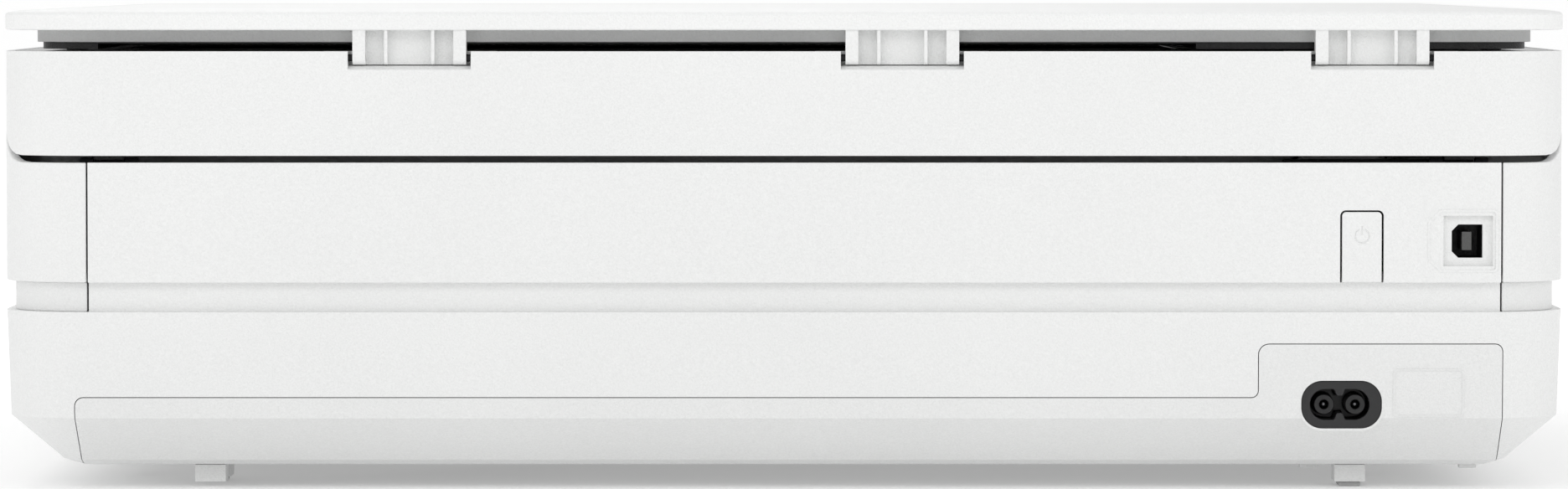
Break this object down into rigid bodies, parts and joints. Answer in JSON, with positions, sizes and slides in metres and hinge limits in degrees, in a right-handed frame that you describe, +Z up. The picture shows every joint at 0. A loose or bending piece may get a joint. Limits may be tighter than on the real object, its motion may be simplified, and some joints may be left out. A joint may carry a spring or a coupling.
{
  "type": "flatbed all-in-one inkjet printer",
  "caption": "Flatbed all-in-one inkjet printer with a hinged lid, a lifting scanner unit, a paper tray and a full print engine.",
  "frame": {"origin": "on the table under the middle of the printer", "axes": "+X to the right seen from the front, +Y to the back with the sockets, +Z up"},
  "size_m": [0.4326, 0.361, 0.1332],
  "materials": {
    "white_shell": "fine-grained matt white",
    "grey_shell": "fine-grained light grey",
    "tray_plastic": "fine-grained pale grey",
    "black_plastic": "fine-grained black",
    "dark_plastic": "dark grey moulding",
    "grey_plastic": "mid grey moulding",
    "black_gloss": "polished black",
    "steel": "zinc-plated steel",
    "rubber": "soft grey rubber",
    "roller": "coated rollers on a steel shaft",
    "motor": "plated motor can and black belt",
    "pale_plastic": "acetal",
    "latch_blue": "blue lever",
    "latch_grey": "grey lever",
    "board": "green solder mask",
    "supply": "black vented box",
    "glass": "clear float glass",
    "foam": "dense foam pad with a white face"
  },
  "bodies": {
    "casing": {"lower_casing": "white_shell", "middle_band": "grey_shell", "upper_casing": "white_shell", "rear_panel": "white_shell", "rear_base_panel": "grey_shell", "usb_shell": "steel", "usb_tongue": "grey_plastic", "power_inlet": "black_plastic", "inlet_pins": "steel", "cable_guide": "dark_plastic", "rubber_feet": "rubber", "case_screws": "steel", "control_panel": "black_gloss", "scanner_hinges": "dark_plastic", "side_frames": "steel", "platen": "dark_plastic", "output_shelf": "dark_plastic", "carriage_rod": "steel", "rail_beam": "steel", "carriage_drive": "motor", "roller_holders": "grey_plastic", "feed_drive": "motor", "paper_guides": "grey_plastic", "service_station": "dark_plastic", "main_board": "board", "power_supply": "supply"},
    "scanner_unit": {"scanner_housing": "white_shell", "scanner_deck": "black_gloss", "scanner_pan": "dark_plastic", "scan_glass": "glass", "scan_rod": "steel", "scan_drive": "motor", "hinge_pins": "steel"},
    "scan_head": {"scan_head": "black_plastic"},
    "scan_pulley": {"scan_pulley": "pale_plastic"},
    "scan_idler": {"scan_idler": "pale_plastic"},
    "lid": {"lid_cover": "white_shell", "lid_frame": "grey_shell", "lid_liner": "black_plastic", "document_pad": "foam", "lid_hinges": "white_shell"},
    "power_button": {"power_button": "white_shell"},
    "carriage": {"carriage": "dark_plastic", "ink_cartridges": "black_plastic"},
    "latch_colour": {"latch_colour": "latch_blue"},
    "latch_black": {"latch_black": "latch_grey"},
    "belt_pulley": {"belt_pulley": "pale_plastic"},
    "belt_idler": {"belt_idler": "pale_plastic"},
    "feed_roller": {"feed_roller": "roller"},
    "exit_roller": {"exit_roller": "roller"},
    "pinch_rollers": {"pinch_rollers": "roller"},
    "star_wheels": {"star_wheels": "roller"},
    "feed_pulley": {"feed_pulley": "pale_plastic"},
    "pick_arm": {"pick_arm": "grey_plastic"},
    "pick_roller": {"pick_roller": "rubber"},
    "paper_tray": {"paper_tray": "tray_plastic"},
    "width_guide_left": {"width_guide_left": "grey_plastic"},
    "width_guide_right": {"width_guide_right": "grey_plastic"},
    "output_extender": {"output_extender": "tray_plastic"},
    "paper_stop": {"paper_stop": "tray_plastic"}
  },
  "joints": [
    {"name": "scanner_hinge", "type": "hinge", "parent": "casing", "child": "scanner_unit", "pos_m": [0, 0.17215, 0.0888], "axis": [-1, 0, 0], "range_deg": [0, 40]},
    {"name": "lid_hinge", "type": "hinge", "parent": "scanner_unit", "child": "lid", "pos_m": [0, 0.1778, 0.1197], "axis": [-1, 0, 0], "range_deg": [0, 80]},
    {"name": "scan_head_slide", "type": "slide", "parent": "scanner_unit", "child": "scan_head", "axis": [-1, 0, 0], "range_m": [0, 0.305]},
    {"name": "scan_pulley_spin", "type": "hinge", "parent": "scanner_unit", "child": "scan_pulley", "pos_m": [-0.20025, -0.062, 0.11], "axis": [0, 0, 1], "range_deg": [0, 3600]},
    {"name": "scan_idler_spin", "type": "hinge", "parent": "scanner_unit", "child": "scan_idler", "pos_m": [0.20025, -0.062, 0.11], "axis": [0, 0, 1], "range_deg": [0, 3600]},
    {"name": "power_button_press", "type": "slide", "parent": "casing", "child": "power_button", "axis": [0, -1, 0], "range_m": [0, 0.0015], "stiffness_N_per_m": 800},
    {"name": "carriage_slide", "type": "slide", "parent": "casing", "child": "carriage", "axis": [-1, 0, 0], "range_m": [0, 0.275]},
    {"name": "latch_colour_hinge", "type": "hinge", "parent": "carriage", "child": "latch_colour", "pos_m": [0.17075, 0.0715, 0.0865], "axis": [-1, 0, 0], "range_deg": [0, 35]},
    {"name": "latch_black_hinge", "type": "hinge", "parent": "carriage", "child": "latch_black", "pos_m": [0.13175, 0.0715, 0.0865], "axis": [-1, 0, 0], "range_deg": [0, 35]},
    {"name": "belt_pulley_spin", "type": "hinge", "parent": "casing", "child": "belt_pulley", "pos_m": [-0.15675, 0.0935, 0.084], "axis": [0, 1, 0], "range_deg": [0, 2900]},
    {"name": "belt_idler_spin", "type": "hinge", "parent": "casing", "child": "belt_idler", "pos_m": [0.18775, 0.0935, 0.084], "axis": [0, 1, 0], "range_deg": [0, 2900]},
    {"name": "feed_roller_spin", "type": "hinge", "parent": "casing", "child": "feed_roller", "pos_m": [0, 0.09, 0.0401], "axis": [1, 0, 0], "continuous": true},
    {"name": "exit_roller_spin", "type": "hinge", "parent": "casing", "child": "exit_roller", "pos_m": [0, 0.008, 0.043], "axis": [1, 0, 0], "continuous": true},
    {"name": "pinch_rollers_spin", "type": "hinge", "parent": "casing", "child": "pinch_rollers", "pos_m": [0, 0.09, 0.0519], "axis": [1, 0, 0], "continuous": true},
    {"name": "star_wheels_spin", "type": "hinge", "parent": "casing", "child": "star_wheels", "pos_m": [0, 0.008, 0.0524], "axis": [1, 0, 0], "continuous": true},
    {"name": "feed_pulley_spin", "type": "hinge", "parent": "casing", "child": "feed_pulley", "pos_m": [-0.185, 0.045, 0.06], "axis": [1, 0, 0], "continuous": true},
    {"name": "pick_arm_hinge", "type": "hinge", "parent": "casing", "child": "pick_arm", "pos_m": [0, 0.062, 0.0325], "axis": [1, 0, 0], "range_deg": [0, 13]},
    {"name": "pick_roller_spin", "type": "hinge", "parent": "pick_arm", "child": "pick_roller", "pos_m": [0, 0.102, 0.0189], "axis": [1, 0, 0], "continuous": true},
    {"name": "paper_tray_slide", "type": "slide", "parent": "casing", "child": "paper_tray", "axis": [0, -1, 0], "range_m": [0, 0.15]},
    {"name": "width_guide_left_slide", "type": "slide", "parent": "paper_tray", "child": "width_guide_left", "axis": [1, 0, 0], "range_m": [0, 0.05]},
    {"name": "width_guide_right_slide", "type": "slide", "parent": "paper_tray", "child": "width_guide_right", "axis": [-1, 0, 0], "range_m": [0, 0.05]},
    {"name": "output_extender_slide", "type": "slide", "parent": "casing", "child": "output_extender", "axis": [0, -1, 0], "range_m": [0, 0.09]},
    {"name": "paper_stop_hinge", "type": "hinge", "parent": "output_extender", "child": "paper_stop", "pos_m": [0, -0.14625, 0.05145], "axis": [-1, 0, 0], "range_deg": [0, 80]}
  ],
  "couplings": [
    {"joint": "scan_pulley_spin", "follows": "scan_head_slide", "rad_per_m": 200},
    {"joint": "scan_idler_spin", "follows": "scan_head_slide", "rad_per_m": 200},
    {"joint": "belt_pulley_spin", "follows": "carriage_slide", "rad_per_m": 181.82},
    {"joint": "belt_idler_spin", "follows": "carriage_slide", "rad_per_m": 181.82},
    {"joint": "exit_roller_spin", "follows": "feed_roller_spin", "ratio": 1.58},
    {"joint": "pinch_rollers_spin", "follows": "feed_roller_spin", "ratio": -2.2571},
    {"joint": "star_wheels_spin", "follows": "feed_roller_spin", "ratio": -1.975},
    {"joint": "feed_pulley_spin", "follows": "feed_roller_spin", "ratio": 3.3333},
    {"joint": "pick_roller_spin", "follows": "feed_roller_spin", "ratio": 0.9875},
    {"joint": "width_guide_right_slide", "follows": "width_guide_left_slide", "ratio": 1}
  ]
}
